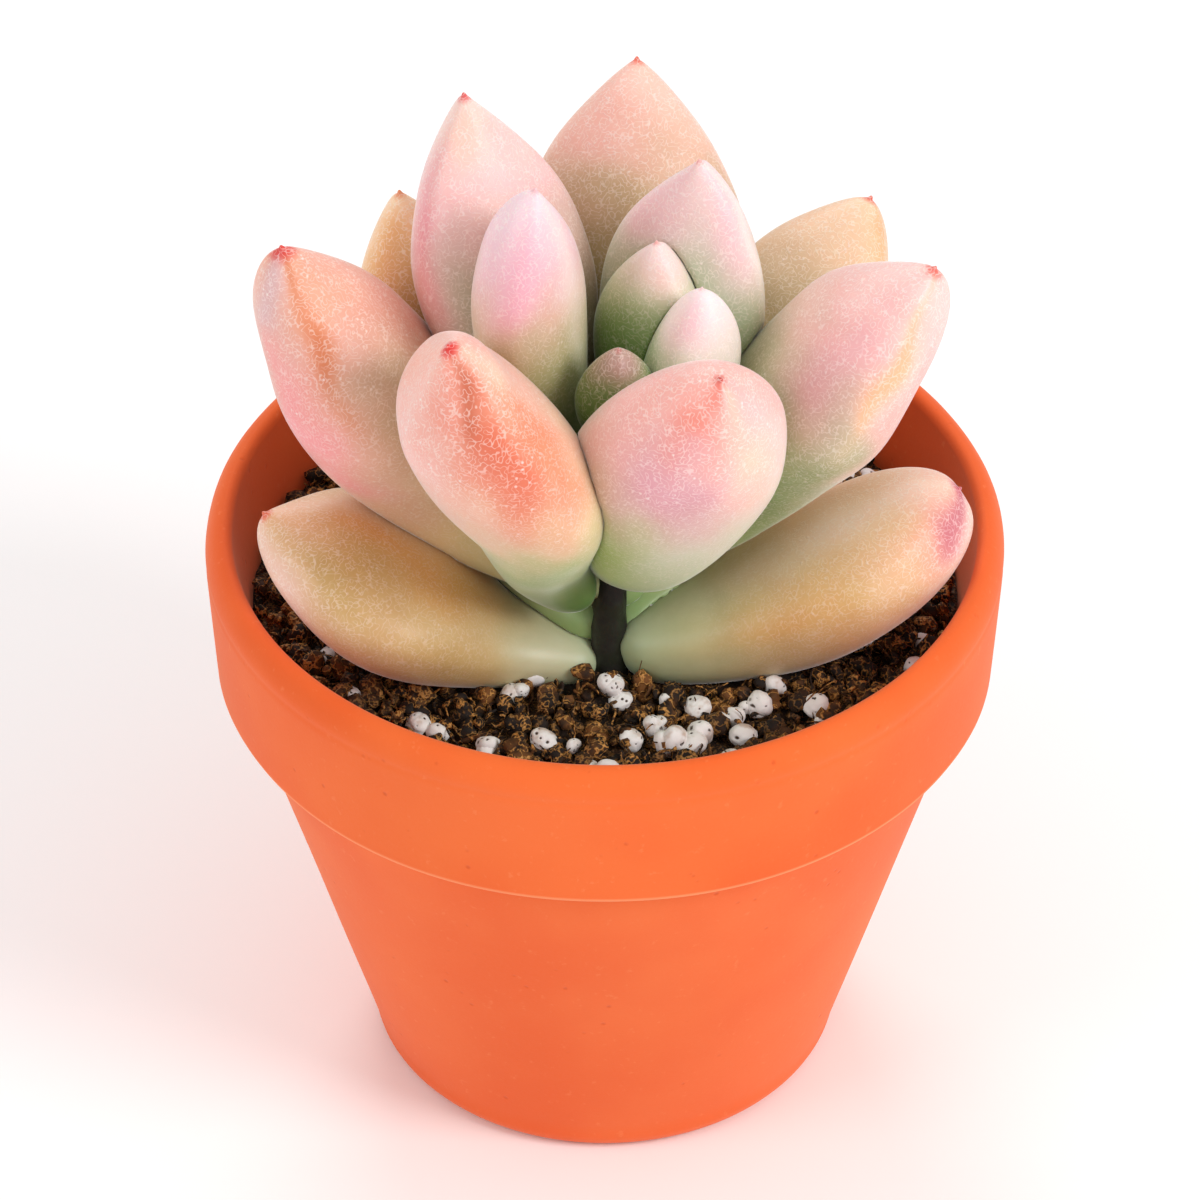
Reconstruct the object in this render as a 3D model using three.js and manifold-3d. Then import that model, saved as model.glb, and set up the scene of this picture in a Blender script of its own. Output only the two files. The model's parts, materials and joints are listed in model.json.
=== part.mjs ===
// A potted succulent: a terracotta pot, a bed of gritty soil, and a rosette of plump, pointed
// leaves on a short stem that is rooted in the soil.
// Millimetres, +Z up. The origin is the centre of the pot's base, on the surface that it stands on.
import * as THREE from "three";
import { mergeVertices } from "three/addons/utils/BufferGeometryUtils.js";
import Module from "manifold-3d";

const wasm = await Module();
wasm.setup();

// ---- Pot ----
const rimRadius = 40; // outside of the rim band, just under its rounded lip
const potHeight = 64.4;
const bandHeight = 16.7; // thickened band under the lip
const bandTaper = 0.8; // the band is this much narrower at its lower edge
const bandStep = 2.4; // the body starts this far inside the band's lower edge
const baseRadius = 24.2; // outside of the body, carried down to the base
const baseRounding = [2.4, 2.7]; // across, up
const lipOuterRounding = [1.9, 3]; // across, down
const lipInnerRounding = [0.9, 1.2];
const rimWall = 2.8; // wall thickness at the lip
const bandWall = 4.4; // at the foot of the band
const bodyWall = 3.8; // at the floor
const shoulderLift = 2.2; // the inside turns in this far above the band's lower edge
const floorThickness = 6;
const drainRadius = 5.5;
const potSegments = 48;

// ---- Soil ----
const headspace = 9.3; // from the lip down to the soil
const soilRoll = 0.5; // height of the soil's gentle rises and dips
const soilWaves = [31, 24]; // their lengths across and along
const soilSegments = 32;
const soilRings = 4;

// ---- Plant ----
const stemOffset = [0.4, -12.5]; // the stem comes up a little in front of the pot's centre
const stemSlope = 0.16; // and leans back this much for each unit that it rises
const stemFootRadius = 3.2; // at the soil
const stemTopRadius = 2.2;
const stemHeight = 28; // from the soil to the growing tip
const rootDepth = 22;
const rootTipRadius = 1.2;
const stemSegments = 12;
const drawnMouthRadius = 35.66; // the pot's mouth, at the soil, that the leaf sizes below are for
const neckWidth = 5.4; // narrow foot by which each leaf joins the stem
const neckDepth = 4.6;
const slimLeafWidth = 14; // a leaf narrower than this has a neck narrower in proportion
const neckEnd = 0.07; // share of the leaf over which the neck's end rounds off
const neckFade = 0.45; // share of the leaf over which the neck melts into the blade
const lowerShare = 0.6; // share of a leaf's depth that lies on its rounded outer side
const leafRings = 10;
const leafSides = 12;

// ---- Fits ----
const gap = 0.3; // between pieces that touch

// Each leaf: the way it points and its lean above level (degrees), length, width, depth (mm),
// upward curl and roll (degrees), height of its foot above the soil (mm), bluntness (0.4 very
// blunt, 0.9 pointed) and colour. A leaf gives way to the leaves above it in the list.
const leaves = {
  leaf_low_left: [173, 28.5, 36.5, 21.5, 12.5, 29, 3, 0.6, 0.8, 0xd8bf92],
  leaf_low_right: [12, 25, 35.3, 19.5, 14, 18, -10, 2, 0.5, 0xe0bfa0],
  leaf_front_left: [212, 60, 47.5, 22.5, 14.5, -10, -7, 9, 0.82, 0xe8a38f],
  leaf_front_right: [295, 62, 45.5, 21, 15.5, -10, -10, 12.5, 0.62, 0xe3b3b6],
  leaf_left: [172, 56, 49.5, 20, 15.5, 27, -8, 8, 0.78, 0xe9b29e],
  leaf_right: [-1, 56, 48.7, 20, 14, 0, 13, 10, 0.75, 0xe6b9b0],
  leaf_inner_left: [169, 84, 35, 14, 10.5, 22, -11, 21, 0.9, 0xe6c2c8],
  leaf_back_left: [129, 65, 46, 18.5, 13, 19, -6, 15, 0.92, 0xe9bdb8],
  leaf_core_right: [-12, 76, 26, 11, 9, 12, 14, 21, 0.77, 0xe6cdca],
  leaf_core_back: [52, 80, 26.5, 12, 8.5, 8, 0, 20, 0.8, 0xbccba6],
  leaf_core_bud: [278, 78, 17, 8, 6, 0, 2, 25, 0.7, 0x8fa57c],
  leaf_inner_right: [50, 74, 39.2, 17.6, 9.5, 40, 9, 16, 0.9, 0xe4c4ca],
  leaf_back: [86, 50, 48, 23, 16, 24, -6, 13, 0.82, 0xe2b99c],
  leaf_outer_back_left: [132, 48, 43, 17, 13, 45, 0, 11, 0.85, 0xdfb083],
  leaf_outer_back_right: [45, 45, 43.5, 17.5, 13, 2, 10, 10, 0.65, 0xddb48c],
  leaf_low_back_left: [132, 20, 34.5, 16, 12.5, 18, 0, 4, 0.72, 0xd9c09a],
  leaf_low_back_right: [50, 20, 34.5, 16, 12.5, 18, 0, 4, 0.72, 0xd9c09a],
  leaf_low_back: [92, 13, 35.5, 15, 12, 18, 0, 3.5, 0.72, 0xd6bd98],
  leaf_mid_back_left: [112, 30, 37.5, 14, 11, 15, 0, 7, 0.78, 0xd9b99e],
  leaf_mid_back_right: [72, 28, 37.5, 14, 11, 15, 0, 7, 0.78, 0xd9b99e],
};

// Leaves that stray from a plain arc: the shift of the blade and of the tip (mm), and the share by
// which the waist is drawn in on the side that faces the front.
const strays = {
  leaf_low_left: { blade: [1.2, -1.8, 1.8], tip: [0, -0.9, -1.1], waist: 0 },
  leaf_front_left: { blade: [4.4, -3.5, 2.8], tip: [3.4, 0, 0], waist: 0 },
  leaf_front_right: { blade: [0, 2.9, -2.9], tip: [0, 0, 0], waist: 0 },
  leaf_left: { blade: [0, 2.2, -1.8], tip: [-1.2, 0, -0.4], waist: 0.6 },
  leaf_right: { blade: [0, 0, 0], tip: [0.6, 0, -1.4], waist: 0.5 },
  leaf_inner_left: { blade: [-0.5, 0, 0], tip: [-0.3, 0, 0], waist: 0 },
  leaf_back_left: { blade: [0, 0, -0.6], tip: [0, 0, 0], waist: 0 },
  leaf_inner_right: { blade: [-0.9, 0, 0], tip: [0.9, 0, 0], waist: 0 },
  leaf_back: { blade: [0.5, 0, -0.6], tip: [-0.1, 0, 0], waist: 0 },
  leaf_outer_back_left: { blade: [-0.4, 0, -1.3], tip: [0.6, 0, -0.4], waist: 0 },
  leaf_outer_back_right: { blade: [1.2, 0, -0.9], tip: [0.6, 0, -0.6], waist: 0 },
};
const plain = { blade: [0, 0, 0], tip: [0, 0, 0], waist: 0 };

// Loose grit on the soil: direction (degrees) and distance from the pot's centre, and size (mm).
const grit = [
  [275, 18, 2.9],
  [296, 21, 3.2],
  [318, 28, 3.1],
  [301, 26.5, 3.3],
  [289, 26.5, 3.4],
  [256, 24.5, 3.2],
  [245, 27.5, 2.7],
  [229, 28, 3.1],
  [214, 30.5, 2.9],
  [267, 28.5, 2.7],
  [30, 31, 3.4],
  [75, 31.5, 3],
];
const gritHeight = 0.8; // of a grain's size
const gritLumps = 0.12; // how far a grain's corners stray, as a share of its size
const gritSink = 0.8; // a grain is pressed this far into the soil

const soilLevel = potHeight - headspace;
const shoulderHeight = potHeight - bandHeight;
const bandFootRadius = rimRadius - bandTaper;
const bodyTopRadius = bandFootRadius - bandStep;
const radians = THREE.MathUtils.degToRad;

// ---- Helpers ----

// A closed mesh as a solid that can be cut and joined.
function solidFrom(geometry) {
  const bare = geometry.clone();
  bare.deleteAttribute("normal");
  bare.deleteAttribute("uv");
  const merged = mergeVertices(bare, 1e-4);
  return new wasm.Manifold(
    new wasm.Mesh({
      numProp: 3,
      vertProperties: merged.attributes.position.array,
      triVerts: new Uint32Array(merged.index.array),
    }),
  );
}

// The largest body of a solid, as a geometry.
function geometryFrom(solid) {
  const bodies = solid.decompose().sort((a, b) => b.volume() - a.volume());
  const mesh = bodies[0].getMesh();
  const geometry = new THREE.BufferGeometry();
  geometry.setAttribute("position", new THREE.BufferAttribute(new Float32Array(mesh.vertProperties), 3));
  geometry.setIndex(new THREE.BufferAttribute(new Uint32Array(mesh.triVerts), 1));
  geometry.computeVertexNormals();
  return geometry;
}

// Points of an elliptical arc about a centre, from one angle to another.
function arcPoints([r, z], [across, down], from, to, steps = 3) {
  return Array.from({ length: steps + 1 }, (_, i) => {
    const angle = radians(from + ((to - from) * i) / steps);
    return [r + across * Math.cos(angle), z + down * Math.sin(angle)];
  });
}

// A profile of [radius, height] points turned about +Z.
function turned(points, segments) {
  const profile = points.map(([r, z]) => new THREE.Vector2(r, z));
  return new THREE.LatheGeometry(profile, segments).rotateX(Math.PI / 2);
}

// ---- Pot ----

// Outside radius of the tapering body at a height.
function bodyRadius(z) {
  return THREE.MathUtils.mapLinear(z, 0, shoulderHeight, baseRadius, bodyTopRadius);
}

// Radius of the pot's inside at a height: nearly upright in the band, tapering below it.
function innerRadius(z) {
  const turn = [shoulderHeight + shoulderLift, bandFootRadius - bandWall];
  if (z > turn[0]) return THREE.MathUtils.mapLinear(z, turn[0], potHeight, turn[1], rimRadius - rimWall);
  return THREE.MathUtils.mapLinear(z, floorThickness, turn[0], bodyRadius(floorThickness) - bodyWall, turn[1]);
}

// The whole pot as one closed profile, round the wall and the drain hole. Its skin can be grown
// outwards to give the room that its contents must keep.
function potGeometry(grow = 0) {
  const [lipAcross, lipDown] = lipOuterRounding;
  const [innerAcross, innerDown] = lipInnerRounding;
  const turnHeight = shoulderHeight + shoulderLift;
  const insideLip = innerRadius(potHeight - innerDown) + innerAcross;
  const base = [baseRadius - baseRounding[0], baseRounding[1]];
  const rounded = ([across, down]) => [across + grow, down + grow];
  const profile = [
    [drainRadius - grow, -grow],
    ...arcPoints(base, rounded(baseRounding), -90, 0),
    [bodyRadius(shoulderHeight) + grow, shoulderHeight - grow],
    [bandFootRadius + grow, shoulderHeight - grow],
    ...arcPoints([rimRadius - lipAcross, potHeight - lipDown], rounded(lipOuterRounding), 0, 90),
    ...arcPoints([insideLip, potHeight - innerDown], rounded(lipInnerRounding), 90, 180),
    [innerRadius(turnHeight) - grow, turnHeight],
    [innerRadius(floorThickness) - grow, floorThickness + grow],
    [drainRadius - grow, floorThickness + grow],
    [drainRadius - grow, -grow],
  ];
  return turned(profile, potSegments);
}

// ---- Soil ----

// The soil's surface, above or below its mean level.
function soilRise(x, y) {
  const [across, along] = soilWaves.map((length) => (2 * Math.PI) / length);
  return soilRoll * (Math.sin(across * x + 1) * Math.cos(along * y) + 0.5 * Math.sin(across * (x + y)));
}

// The bed fills the pot from the floor to the soil's level, and its top rises and dips.
function soilGeometry() {
  const turnHeight = shoulderHeight + shoulderLift;
  const bottom = floorThickness + gap;
  const mouth = innerRadius(soilLevel - soilRoll) - gap;
  const top = Array.from({ length: soilRings + 1 }, (_, i) => [mouth * (1 - i / soilRings), soilLevel]);
  const profile = [
    [0, bottom],
    [innerRadius(bottom) - gap, bottom],
    [innerRadius(turnHeight) - gap, turnHeight],
    ...top,
  ];
  const geometry = turned(profile, soilSegments);
  const position = geometry.attributes.position;
  for (let i = 0; i < position.count; i++) {
    const [x, y, z] = [position.getX(i), position.getY(i), position.getZ(i)];
    if (z > turnHeight + gap) position.setZ(i, z + soilRise(x, y));
  }
  return geometry;
}

// ---- Plant ----

// The plant grows to suit the mouth of its pot.
const plantScale = innerRadius(soilLevel) / drawnMouthRadius;

// Middle of the stem at a height above the soil.
function stemCentre(rise) {
  const [x, y] = stemOffset.map((offset) => plantScale * offset);
  return new THREE.Vector3(x, y + stemSlope * rise, soilLevel + rise);
}

function stemRadius(rise) {
  return plantScale * THREE.MathUtils.mapLinear(rise, 0, stemHeight, stemFootRadius, stemTopRadius);
}

// The stem tapers from the soil to a round growing tip, and below the soil it narrows to a root.
function stemGeometry(grow = 0) {
  const tip = stemRadius(stemHeight);
  const profile = [
    [0, -rootDepth - grow],
    [rootTipRadius + grow, -rootDepth - grow],
    [stemRadius(0) + grow, 0],
    ...arcPoints([0, plantScale * stemHeight - tip], [tip + grow, tip + grow], 0, 90),
  ];
  profile[profile.length - 1][0] = 0;
  const geometry = turned(profile, stemSegments);
  const position = geometry.attributes.position;
  for (let i = 0; i < position.count; i++) {
    const centre = stemCentre(position.getZ(i));
    position.setXYZ(i, position.getX(i) + centre.x, position.getY(i) + centre.y, centre.z);
  }
  return geometry;
}

// Half-width, inner depth and outer depth of a leaf at a share t of its length: a blade that
// swells beyond the middle, blended with a narrow neck near the stem.
function leafSection(t, width, depth, blunt) {
  const round = Math.sqrt(1 - (1 - Math.min(t / neckEnd, 1)) ** 2);
  const fade = 1 - THREE.MathUtils.smoothstep(t, neckEnd, neckEnd + neckFade);
  const neck = round * fade * Math.min(1, width / slimLeafWidth);
  const swell = (shift, power) => Math.sin(Math.PI * t ** shift) ** power;
  return [
    Math.hypot((width / 2) * swell(1.3, blunt), (neckWidth / 2) * neck),
    Math.hypot(depth * (1 - lowerShare) * swell(1.28, 0.8 * blunt), (neckDepth / 2) * neck),
    Math.hypot(depth * lowerShare * swell(1.25, 0.7 * blunt), (neckDepth / 2) * neck),
  ];
}

// A leaf's foot stands just clear of the stem's skin.
function leafFoot([azimuth, , , , , , , rise]) {
  const reach = stemRadius(rise) + gap;
  const out = new THREE.Vector3(Math.cos(radians(azimuth)), Math.sin(radians(azimuth)), 0);
  return stemCentre(plantScale * rise).addScaledVector(out, reach);
}

// A leaf is a section carried along an arc that leaves the stem and curls upwards. Its skin can be
// grown outwards to give the room that its neighbours must keep.
function leafGeometry(row, stray, grow = 0) {
  const [azimuth, lean, length, width, depth, curl, roll, , blunt] = row;
  const out = new THREE.Vector3(Math.cos(radians(azimuth)), Math.sin(radians(azimuth)), 0);
  const up = new THREE.Vector3(0, 0, 1);
  const across = new THREE.Vector3(-out.y, out.x, 0);
  const start = radians(lean - curl / 2);
  const bend = radians(curl);
  const foot = leafFoot(row);
  const scaled = [plantScale * width, plantScale * depth];
  const bladeShift = new THREE.Vector3(...stray.blade).multiplyScalar(plantScale);
  const tipShift = new THREE.Vector3(...stray.tip).multiplyScalar(plantScale);

  // Middle of the leaf, the way it runs there, and the way that its inner side faces.
  const along = (t) => {
    const angle = start + bend * t;
    const chord = (plantScale * length * Math.sin((bend * t) / 2)) / (bend / 2 || 1);
    const run = bend ? chord : plantScale * length * t;
    const middle = start + (bend * t) / 2;
    const centre = foot.clone().addScaledVector(out, run * Math.cos(middle)).addScaledVector(up, run * Math.sin(middle));
    centre.addScaledVector(bladeShift, THREE.MathUtils.smoothstep(t, 0.1, 0.5));
    centre.addScaledVector(tipShift, THREE.MathUtils.smoothstep(t, 0.75, 1));
    const forward = out.clone().multiplyScalar(Math.cos(angle)).addScaledVector(up, Math.sin(angle));
    const inward = out.clone().multiplyScalar(-Math.sin(angle)).addScaledVector(up, Math.cos(angle));
    return { centre, forward, inward };
  };

  const points = [];
  const addRing = (t) => {
    const { centre, forward, inward } = along(t);
    const [half, inner, outer] = leafSection(t, ...scaled, blunt).map((size) => size + grow);
    const side = across.clone().applyAxisAngle(forward, radians(roll));
    const face = inward.clone().applyAxisAngle(forward, radians(roll));
    const waist = stray.waist * (1 - THREE.MathUtils.smoothstep(t, 0.25, 0.65));
    for (let j = 0; j < leafSides; j++) {
      const angle = (2 * Math.PI * j) / leafSides;
      const facing = Math.max(0, -Math.sign(across.y) * Math.cos(angle)) ** 2;
      const spread = half * Math.cos(angle) * (1 - waist * facing);
      const rise = Math.sin(angle) * (Math.sin(angle) > 0 ? inner : outer) * (1 - waist * facing);
      points.push(centre.clone().addScaledVector(side, spread).addScaledVector(face, rise));
    }
  };
  const [first, last] = [along(0), along(1)];
  points.push(first.centre.addScaledVector(first.forward, -grow));
  for (let i = 1; i < leafRings; i++) addRing((1 - Math.cos((Math.PI * i) / leafRings)) / 2);
  points.push(last.centre.addScaledVector(last.forward, grow));

  const faces = [];
  const at = (ring, j) => 1 + ring * leafSides + (j % leafSides);
  const tip = points.length - 1;
  for (let j = 0; j < leafSides; j++) {
    faces.push(0, at(0, j + 1), at(0, j));
    for (let ring = 0; ring < leafRings - 2; ring++) {
      faces.push(at(ring, j), at(ring, j + 1), at(ring + 1, j + 1));
      faces.push(at(ring, j), at(ring + 1, j + 1), at(ring + 1, j));
    }
    faces.push(tip, at(leafRings - 2, j), at(leafRings - 2, j + 1));
  }
  return new THREE.BufferGeometry().setFromPoints(points).setIndex(faces);
}

// ---- Grit ----

// A lumpy grain, its corners pushed in and out by turns, with its middle at the origin.
function grainGeometry(size, grow = 0) {
  const geometry = new THREE.IcosahedronGeometry(1);
  const position = geometry.attributes.position;
  const corner = new THREE.Vector3();
  for (let i = 0; i < position.count; i++) {
    corner.fromBufferAttribute(position, i);
    const lump = Math.sin(7 * corner.x + size) * Math.cos(6 * corner.y) * Math.sin(5 * corner.z + 1);
    corner.multiplyScalar((size / 2) * (1 + gritLumps * lump) + grow);
    position.setXYZ(i, corner.x, corner.y, corner.z * gritHeight);
  }
  return geometry;
}

// A grain lies pressed a little into the soil.
function grainPlace([azimuth, distance, size]) {
  const x = plantScale * distance * Math.cos(radians(azimuth));
  const y = plantScale * distance * Math.sin(radians(azimuth));
  const half = (size / 2) * gritHeight * (1 + gritLumps);
  return new THREE.Vector3(x, y, soilLevel + soilRise(x, y) + half - gritSink);
}

// ---- Assembly ----

const succulent = new THREE.Group();
const bed = new THREE.Group();
const plant = new THREE.Group();
plant.position.copy(stemCentre(0));
succulent.add(bed, plant);

// Room already taken. Each new piece gives way to the pieces before it, as a leaf does where it is
// pressed by another and as soil does round a stem.
let taken = solidFrom(potGeometry(gap));

// A named mesh whose own origin is at a place in the pot's frame.
function addPiece(group, name, solid, place, colour, roughness) {
  const geometry = geometryFrom(solid).translate(-place.x, -place.y, -place.z);
  const material = new THREE.MeshStandardMaterial({ color: colour, roughness, metalness: 0 });
  const mesh = new THREE.Mesh(geometry, material);
  mesh.name = name;
  mesh.position.copy(place).sub(group.position);
  group.add(mesh);
}

addPiece(succulent, "pot", solidFrom(potGeometry()), new THREE.Vector3(), 0xf08450, 0.85);

for (const [name, row] of Object.entries(leaves)) {
  const colour = row[row.length - 1];
  const stray = strays[name] ?? plain;
  addPiece(plant, name, solidFrom(leafGeometry(row, stray)).subtract(taken), leafFoot(row), colour, 0.55);
  taken = taken.add(solidFrom(leafGeometry(row, stray, gap)));
}

addPiece(plant, "stem", solidFrom(stemGeometry()).subtract(taken), stemCentre(0), 0x9aa57e, 0.6);
taken = taken.add(solidFrom(stemGeometry(gap)));

grit.forEach((row, i) => {
  const place = grainPlace(row);
  const size = row[row.length - 1];
  const grain = solidFrom(grainGeometry(size).translate(place.x, place.y, place.z));
  const name = `perlite_grain_${String(i + 1).padStart(2, "0")}`;
  addPiece(bed, name, grain.subtract(taken), place, 0xe9e6df, 0.9);
  taken = taken.add(solidFrom(grainGeometry(size, gap).translate(place.x, place.y, place.z)));
});

const soilPlace = new THREE.Vector3(0, 0, soilLevel);
addPiece(bed, "soil_bed", solidFrom(soilGeometry()).subtract(taken), soilPlace, 0x4a3524, 1);

export default succulent;
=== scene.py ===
import json
import math

import bmesh
import bpy
import numpy as np
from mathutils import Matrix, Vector


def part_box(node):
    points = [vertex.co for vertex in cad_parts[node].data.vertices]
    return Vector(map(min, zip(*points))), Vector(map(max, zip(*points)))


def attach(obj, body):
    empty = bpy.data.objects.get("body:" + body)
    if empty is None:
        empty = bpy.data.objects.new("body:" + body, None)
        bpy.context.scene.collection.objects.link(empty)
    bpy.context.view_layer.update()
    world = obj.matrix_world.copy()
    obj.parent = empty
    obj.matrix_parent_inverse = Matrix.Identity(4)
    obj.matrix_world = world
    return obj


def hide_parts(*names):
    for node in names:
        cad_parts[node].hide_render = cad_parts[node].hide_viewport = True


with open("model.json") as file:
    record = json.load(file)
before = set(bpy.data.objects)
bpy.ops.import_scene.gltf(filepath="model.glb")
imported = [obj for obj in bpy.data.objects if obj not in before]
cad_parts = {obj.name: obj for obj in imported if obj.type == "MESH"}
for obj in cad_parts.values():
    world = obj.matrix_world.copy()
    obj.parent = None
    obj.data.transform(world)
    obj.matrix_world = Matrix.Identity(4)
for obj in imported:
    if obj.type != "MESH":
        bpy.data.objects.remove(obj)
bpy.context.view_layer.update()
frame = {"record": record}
mm = 0.001
print("frame loaded")


def makePiece(name, points, faces, smooth=True):
    # a mesh object at the origin, with its place in its vertices; mixed kinds of faces come as a list
    mesh = bpy.data.meshes.new(name)
    mesh.from_pydata(points.tolist(), [], faces if isinstance(faces, list) else faces.tolist())
    mesh.polygons.foreach_set("use_smooth", np.full(len(mesh.polygons), smooth))
    mesh.update()
    piece = bpy.data.objects.new(name, mesh)
    bpy.context.scene.collection.objects.link(piece)
    return piece


def addAttribute(piece, name, values):
    # one number for each vertex, for the materials to read
    attribute = piece.data.attributes.new(name, "FLOAT", "POINT")
    attribute.data.foreach_set("value", np.ascontiguousarray(values, dtype=np.float32))


def ringFaces(rows, columns):
    # quads between rows of a grid that closes round on itself
    r, c = np.meshgrid(np.arange(rows - 1), np.arange(columns), indexing="ij")
    row, nextRow, nextColumn = r * columns, (r + 1) * columns, (c + 1) % columns
    corners = [row + c, row + nextColumn, nextRow + nextColumn, nextRow + c]
    return np.stack(corners, -1).reshape(-1, 4)


def roundAngles(count):
    # angles round a full turn, the first at 0
    return np.linspace(0, 2 * math.pi, count, endpoint=False)


def smoothStep(x, low, high):
    # 0 below low, 1 above high, and 3s^2 - 2s^3 between
    s = np.clip((x - low) / (high - low), 0, 1)
    return s * s * (3 - 2 * s)


def softNoise(points, size, seed):
    # a sum of sine waves in random directions, from about -1 to 1, with waves about size long
    rng = np.random.default_rng(seed)
    total = np.zeros(points.shape[:-1])
    waves = 7
    for _ in range(waves):
        way = rng.normal(size=3)
        way *= 2 * math.pi / (size * rng.uniform(0.7, 1.6)) / np.linalg.norm(way)
        total += np.sin(points @ way + rng.uniform(0, 2 * math.pi))
    return total / (waves / 2)


def startMaterial(name):
    material = bpy.data.materials.new(name)
    material.use_nodes = True
    tree = material.node_tree
    return material, tree, tree.nodes["Principled BSDF"]


def startGroup(name, inputs, outputs):
    # an empty node group with named inputs (and their first values) and outputs
    group = bpy.data.node_groups.new(name, "ShaderNodeTree")
    for label, kind, value in inputs:
        socket = group.interface.new_socket(label, in_out="INPUT", socket_type=kind)
        if value is not None:
            socket.default_value = value
    for label, kind in outputs:
        group.interface.new_socket(label, in_out="OUTPUT", socket_type=kind)
    return group, group.nodes.new("NodeGroupInput"), group.nodes.new("NodeGroupOutput")


def setInputs(node, values):
    for label, value in values.items():
        node.inputs[label].default_value = value


def feed(tree, socket, value):
    # a socket takes a link from another one, or a plain number or colour
    if isinstance(value, bpy.types.NodeSocket):
        tree.links.new(value, socket)
    else:
        socket.default_value = value


def addNode(tree, kind, links=None, values=None, **settings):
    # a node with its settings, its inputs linked from other sockets or set to values
    node = tree.nodes.new(kind)
    for key, value in settings.items():
        setattr(node, key, value)
    setInputs(node, values or {})
    for key, socket in (links or {}).items():
        tree.links.new(socket, node.inputs[key])
    return node


def mathNode(tree, operation, first, second=0.5):
    node = tree.nodes.new("ShaderNodeMath")
    node.operation = operation
    feed(tree, node.inputs[0], first)
    feed(tree, node.inputs[1], second)
    return node.outputs[0]


def awayFrom(tree, value, middle):
    # how far a value lies from a middle one
    return mathNode(tree, "ABSOLUTE", mathNode(tree, "SUBTRACT", value, middle))


def mixColour(tree, factor, first, second, blend="MIX"):
    node = tree.nodes.new("ShaderNodeMix")
    node.data_type = "RGBA"
    node.blend_type = blend
    feed(tree, node.inputs[0], factor)
    feed(tree, node.inputs[6], first)
    feed(tree, node.inputs[7], second)
    return node.outputs[2]


def spread(tree, value, low, high, toLow=0.0, toHigh=1.0):
    # a smooth step of a value from low to high
    node = tree.nodes.new("ShaderNodeMapRange")
    node.interpolation_type = "SMOOTHSTEP"
    tree.links.new(value, node.inputs["Value"])
    setInputs(node, {"From Min": low, "From Max": high, "To Min": toLow, "To Max": toHigh})
    return node.outputs["Result"]


def objectPlace(tree):
    return tree.nodes.new("ShaderNodeTexCoord").outputs["Object"]


def noiseAt(tree, vector, scale, detail=2.0, roughness=0.5):
    values = {"Scale": scale, "Detail": detail, "Roughness": roughness}
    return addNode(tree, "ShaderNodeTexNoise", {"Vector": vector}, values).outputs["Fac"]


def dotsAt(tree, vector, scale):
    # distance from the nearest of many scattered points
    return addNode(tree, "ShaderNodeTexVoronoi", {"Vector": vector}, {"Scale": scale}).outputs["Distance"]


def addBump(tree, shader, height, strength, distance):
    # a height that tilts the shader's normal, with its distance in metres
    bump = addNode(tree, "ShaderNodeBump", {"Height": height}, {"Strength": strength, "Distance": distance})
    tree.links.new(bump.outputs[0], shader.inputs["Normal"])


def linearLight(colour):
    # display values from 0 to 255 as the linear light that nodes use
    c = np.clip(colour, 0, 255) / 255
    return np.where(c <= 0.04045, c / 12.92, ((c + 0.055) / 1.055) ** 2.4)


def rgb(red, green, blue):
    return (*linearLight((red, green, blue)).tolist(), 1.0)


pot = {
    "bandHeight": 16.7, "bandTaper": 0.8, "bandStep": 2.4, "baseRadius": 24.2, "baseRounding": (2.4, 2.7),
    "lipOuter": (1.9, 3.0), "lipInner": (0.9, 1.2), "rimWall": 2.8, "bandWall": 4.4, "bodyWall": 3.8,
    "shoulderLift": 2.2, "floor": 6.0, "drainRadius": 5.5, "segments": 288,
    "wobble": 0.06, "wobbleSize": 22.0,
    "clay": rgb(238, 95, 30), "pale": rgb(250, 124, 58), "deep": rgb(208, 72, 20), "dustAndHighlight": rgb(250, 150, 98),
    "groove": (3.3, 0.35, 0.1),  # under the lip: how far below its top, half-width and depth
    "edgeRounding": 0.5,  # of the band's lower edge and of the corner under it
    "highlightLift": 0.3,  # of the painted highlight line over the band's lower edge
}


def arc(centre, radii, fromAngle, toAngle, steps):
    # points of an elliptical arc, angles in degrees
    a = np.radians(np.linspace(fromAngle, toAngle, steps))
    return np.stack([centre[0] + radii[0] * np.cos(a), centre[1] + radii[1] * np.sin(a)], -1)


def line(start, end, steps):
    # points after the start, up to and with the end
    t = np.linspace(0, 1, steps + 1)[1:, None]
    return np.array(start) * (1 - t) + np.array(end) * t


def potSize():
    # radius of the rim, and height
    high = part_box("pot")[1]
    return high.x / mm, high.z / mm


def potRadii(rim, height):
    # heights of the band's foot and of the turn inside it, outside radii of the band's foot and the
    # body's top, and inside radius at the floor
    shoulder = height - pot["bandHeight"]
    bandFoot = rim - pot["bandTaper"]
    bodyTop = bandFoot - pot["bandStep"]
    flare = (bodyTop - pot["baseRadius"]) * pot["floor"] / shoulder
    floorRadius = pot["baseRadius"] + flare - pot["bodyWall"]
    return shoulder, shoulder + pot["shoulderLift"], bandFoot, bodyTop, floorRadius


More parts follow.
